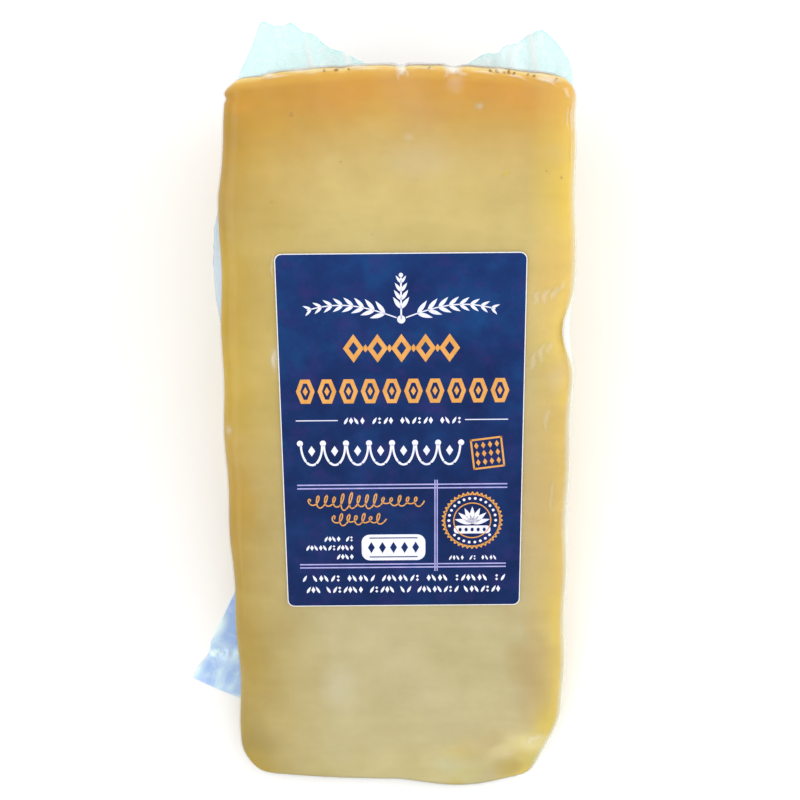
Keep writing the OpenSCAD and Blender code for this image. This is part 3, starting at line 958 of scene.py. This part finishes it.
def lozenge(bm, x, y, w, h, turn=0.0, sides=4, hollow=0.0):
    """A flat shape with its points on an ellipse. With hollow, only a rim that wide is left."""
    made = bmesh.ops.create_circle(bm, cap_ends=True, segments=sides, radius=1.0)["verts"]
    bmesh.ops.scale(bm, vec=(w / 2, h / 2, 1), verts=made)
    if hollow:
        face = made[0].link_faces[0]
        rim = bmesh.ops.inset_region(
            bm, faces=[face], thickness=hollow, use_boundary=True, use_even_offset=True
        )
        made = list({v for f in rim["faces"] + [face] for v in f.verts})
    place = Matrix.Translation((x, y, 0)) @ Matrix.Rotation(turn, 4, "Z")
    bmesh.ops.transform(bm, matrix=place, verts=made)
    if hollow:
        bmesh.ops.delete(bm, geom=[face], context="FACES")


def ribbon(bm, start, end, width, path, steps=60):
    """A strip of ink that follows path(t), a curve for t from start to end."""
    made = bmesh.ops.create_grid(bm, x_segments=steps, y_segments=1, size=0.5)["verts"]
    for vert in made:
        t = start + (end - start) * (vert.co.x + 0.5)
        here, ahead = Vector(path(t)), Vector(path(t + (end - start) * 0.001))
        side = (ahead - here).orthogonal().normalized() * width * vert.co.y
        vert.co = Vector((here.x + side.x, here.y + side.y, 0))


def leaf(bm, x, y, length, width, turn):
    """An almond shape that starts at (x, y) and points along turn."""
    made = bmesh.ops.create_grid(bm, x_segments=10, y_segments=2, size=0.5)["verts"]
    for vert in made:
        t = vert.co.x + 0.5
        vert.co = Vector((length * t, width * vert.co.y * math.sin(math.pi * t ** 0.8), 0))
    bmesh.ops.remove_doubles(bm, verts=made, dist=0.001 * mm)
    made = [v for v in made if v.is_valid]
    place = Matrix.Translation((x, y, 0)) @ Matrix.Rotation(turn, 4, "Z")
    bmesh.ops.transform(bm, matrix=place, verts=made)


def mark_row(bm, left, right, y, h, words, w=0.9 * mm):
    """A row of small marks from left to right, in groups: leaves, diamonds and pairs of dots."""
    step = (right - left) / (sum(words) + len(words) - 1)
    w = min(w, step * 0.84)
    slot = 0
    for count in words:
        for _ in range(count):
            x = left + step * (slot + 0.5)
            kind = slot * 5 % 7
            if kind in (0, 4):
                leaf(bm, x - w * 0.3, y - h * 0.5, h * 1.16, w * 0.62, 1.06)
            elif kind in (1, 5):
                lozenge(bm, x, y, w, h)
            elif kind == 2:
                for up in (-1, 1):
                    lozenge(bm, x, y + up * h * 0.27, w * 0.72, h * 0.42)
            else:
                leaf(bm, x + w * 0.3, y - h * 0.5, h * 1.16, w * 0.62, math.pi - 1.06)
            slot += 1
        slot += 1


# The sprig: two low stems that spread from a berry, and an upright one between them, all
# with pairs of narrow leaves.
sprig_y, stem_reach, stem_rise, upright = 25.2 * mm, 19.2 * mm, 3.0 * mm, 8.6 * mm
for side in (-1, 1):
    def stem(t, side=side):
        return (side * stem_reach * t, sprig_y + stem_rise * math.sin(t * 2.4), 0)

    ribbon(bm, 0.05, 1.0, 0.34 * mm, stem)
    for k in range(8):
        t = 0.17 + 0.112 * k
        x, y, _ = stem(t)
        ahead = stem(t + 0.01)
        along = math.atan2(ahead[1] - y, ahead[0] - x)
        size = (3.3 - 0.2 * k) * mm
        for lean in (-0.6, 0.6):
            leaf(bm, x, y, size, size * 0.27, along + lean)
flat_bar(bm, 0, sprig_y + upright / 2, 0.34 * mm, upright)
for k in range(4):
    size = (2.9 - 0.35 * k) * mm
    for lean in (-0.6, 0.6):
        leaf(bm, 0, sprig_y + (2.2 + 1.75 * k) * mm, size, size * 0.3, math.pi / 2 + lean)
lozenge(bm, 0, sprig_y + upright + 0.5 * mm, 0.9 * mm, 0.9 * mm, sides=12)
lozenge(bm, 0, sprig_y, 1.7 * mm, 1.7 * mm, sides=20)

# A thin rule at each side of a row of small marks.
for x0, x1 in ((-22.3, -13.5), (13.2, 22.2)):
    flat_bar(bm, (x0 + x1) / 2 * mm, 3.8 * mm, (x1 - x0) * mm, 0.2 * mm)
mark_row(bm, -12.5 * mm, 12.6 * mm, 3.7 * mm, 1.5 * mm, (4, 4, 6, 4))

# A chain of scallops under a string of beads.
scallops, chain_left, chain_right = 7, -21.6 * mm, 12.4 * mm
pitch = (chain_right - chain_left) / scallops
for k in range(scallops):
    middle = chain_left + pitch * (k + 0.5)

    def scallop(a, middle=middle):
        return (middle - 0.46 * pitch * math.cos(a), -1.6 * mm - 4.4 * mm * math.sin(a), 0)

    ribbon(bm, 0, math.pi, 0.62 * mm, scallop, 20)
    lozenge(bm, middle, -2.9 * mm, 1.5 * mm, 2.3 * mm)
    lozenge(bm, chain_left + pitch * k, -1.2 * mm, 1.3 * mm, 1.3 * mm, sides=14)
lozenge(bm, chain_right, -1.2 * mm, 1.3 * mm, 1.3 * mm, sides=14)

# Three short rows set to the right, and a plaque beside them.
for y, left, words in ((-22.85, -17.2, (4, 2)), (-24.9, -21.2, (11,)), (-27.0, -14.6, (4,))):
    mark_row(bm, left * mm, -10.7 * mm, y * mm, 1.25 * mm, words)
plaque_x, plaque_y, plaque_w, plaque_h = -2.1 * mm, -24.9 * mm, 13.8 * mm, 6.0 * mm
flat_bar(bm, plaque_x, plaque_y, plaque_w, plaque_h, 1.8 * mm)

# The small rows at the foot, and the one under the seal.
mark_row(bm, -22.3 * mm, 22.2 * mm, -32.1 * mm, 1.55 * mm, (1, 5, 5, 7, 4, 6, 2))
mark_row(bm, -21.5 * mm, 21.3 * mm, -34.8 * mm, 1.55 * mm, (3, 7, 5, 2, 8, 7))
mark_row(bm, 9.7 * mm, 20.4 * mm, -27.4 * mm, 1.1 * mm, (4, 2, 4), 0.6 * mm)

# The fan of leaves, the plain band and the ring of beads inside the seal.
seal_x, seal_y, bead_ring = 14.9 * mm, -18.8 * mm, 5.05 * mm
for k in range(7):
    a = math.pi * (0.08 + 0.14 * k)
    leaf(bm, seal_x, seal_y - 0.7 * mm, 3.9 * mm, 1.1 * mm, a)
flat_bar(bm, seal_x, seal_y - 2.1 * mm, 7.9 * mm, 1.8 * mm, 0.85 * mm)
for k in range(26):
    a = math.tau * k / 26
    if math.sin(a) > -0.3 or math.sin(a) < -0.6:
        lozenge(bm, seal_x + bead_ring * math.cos(a), seal_y + bead_ring * math.sin(a),
                0.62 * mm, 0.62 * mm, sides=8)
press_ink(bm, "label_white", white_ink, 1)

bm = bmesh.new()
for y in (-10.5, -11.3, -28.8, -29.55):
    flat_bar(bm, -0.1 * mm, y * mm, 44.8 * mm, 0.28 * mm)
for x in (6.88, 7.36):
    flat_bar(bm, x * mm, -20.0 * mm, 0.24 * mm, 21.0 * mm)
press_ink(bm, "label_rules", rule_ink, 1.2)


# ---- Gold print -----------------------------------------------------------------------------
# Warm gold ink: two friezes of hollow shapes, a stamp set askew, two looping flourishes and a
# round seal with a toothed rim.
gold_ink = ink_material("gold_ink", srgb(212, 148, 72), srgb(234, 172, 98), 260.0)
bm = bmesh.new()
for k in range(5):
    x = (-9.9 + 4.95 * k) * mm
    lozenge(bm, x, 19.2 * mm, 4.3 * mm, 6.0 * mm, hollow=0.95 * mm)
for k in range(4):
    lozenge(bm, (-7.42 + 4.95 * k) * mm, 19.2 * mm, 1.2 * mm, 1.7 * mm)
for k in range(10):
    x = (-20.1 + 4.5 * k) * mm
    lozenge(bm, x, 10.1 * mm, 6.0 * mm, 3.9 * mm, turn=math.pi / 2, sides=6, hollow=0.85 * mm)
    lozenge(bm, x, 10.1 * mm, 1.1 * mm, 2.0 * mm)

stamp_x, stamp_y, stamp_w, stamp_turn = 18.0 * mm, -3.6 * mm, 6.4 * mm, math.radians(7)
turned = Matrix.Rotation(stamp_turn, 3, "Z")
for side in range(4):
    offset = turned @ Matrix.Rotation(side * math.pi / 2, 3, "Z") @ Vector((0, stamp_w / 2, 0))
    flat_bar(bm, stamp_x + offset.x, stamp_y + offset.y, stamp_w + 0.4 * mm, 0.4 * mm,
             turn=stamp_turn + side * math.pi / 2)
for row in range(3):
    for column in range(4):
        offset = turned @ Vector(((column - 1.5) * 1.45 * mm, (row - 1) * 1.85 * mm, 0))
        lozenge(bm, stamp_x + offset.x, stamp_y + offset.y, 0.95 * mm, 1.5 * mm, turn=stamp_turn)

# The flourishes are coils like a pen's practice loops, taller and lower by turns.
for x0, x1, y, loops in ((-20.5, 4.0, -14.2, 14), (-15.4, -4.2, -18.3, 7)):
    def flourish(t, x0=x0, x1=x1, y=y, loops=loops):
        phase = math.tau * loops * t
        tall = 0.95 + 0.6 * math.sin(t * math.pi * 3.1 + x0) * math.cos(phase / 5)
        x = x0 + (x1 - x0) * t + 0.62 * math.cos(phase) + 0.3 * tall * math.sin(phase)
        return (x * mm, (y + 1.35 * tall * math.sin(phase)) * mm, 0)

    ribbon(bm, 0, 1, 0.38 * mm, flourish, 26 * loops)

teeth = 40
for k in range(teeth):
    a = math.tau * k / teeth
    lozenge(bm, seal_x + 6.2 * mm * math.cos(a), seal_y + 6.2 * mm * math.sin(a),
            0.9 * mm, 0.75 * mm, turn=a)
lozenge(bm, seal_x, seal_y, 12.3 * mm, 12.3 * mm, sides=64, hollow=0.34 * mm)
lozenge(bm, seal_x, seal_y, 8.2 * mm, 8.2 * mm, sides=48, hollow=0.24 * mm)
press_ink(bm, "label_gold", gold_ink, 1.1)

# The plaque's own lines and diamonds, and dots on the seal's band, are in blue on the white.
bm = bmesh.new()
for k in range(5):
    lozenge(bm, plaque_x + (k - 2) * 2.4 * mm, plaque_y, 1.5 * mm, 2.6 * mm)
for y in (-1, 1):
    flat_bar(bm, plaque_x, plaque_y + y * 2.2 * mm, plaque_w - 3.4 * mm, 0.24 * mm)
for k in range(5):
    lozenge(bm, seal_x + (k - 2) * 1.3 * mm, seal_y - 2.1 * mm, 0.7 * mm, 0.9 * mm, sides=8)
press_ink(bm, "label_plaque_detail", navy, 2.2)
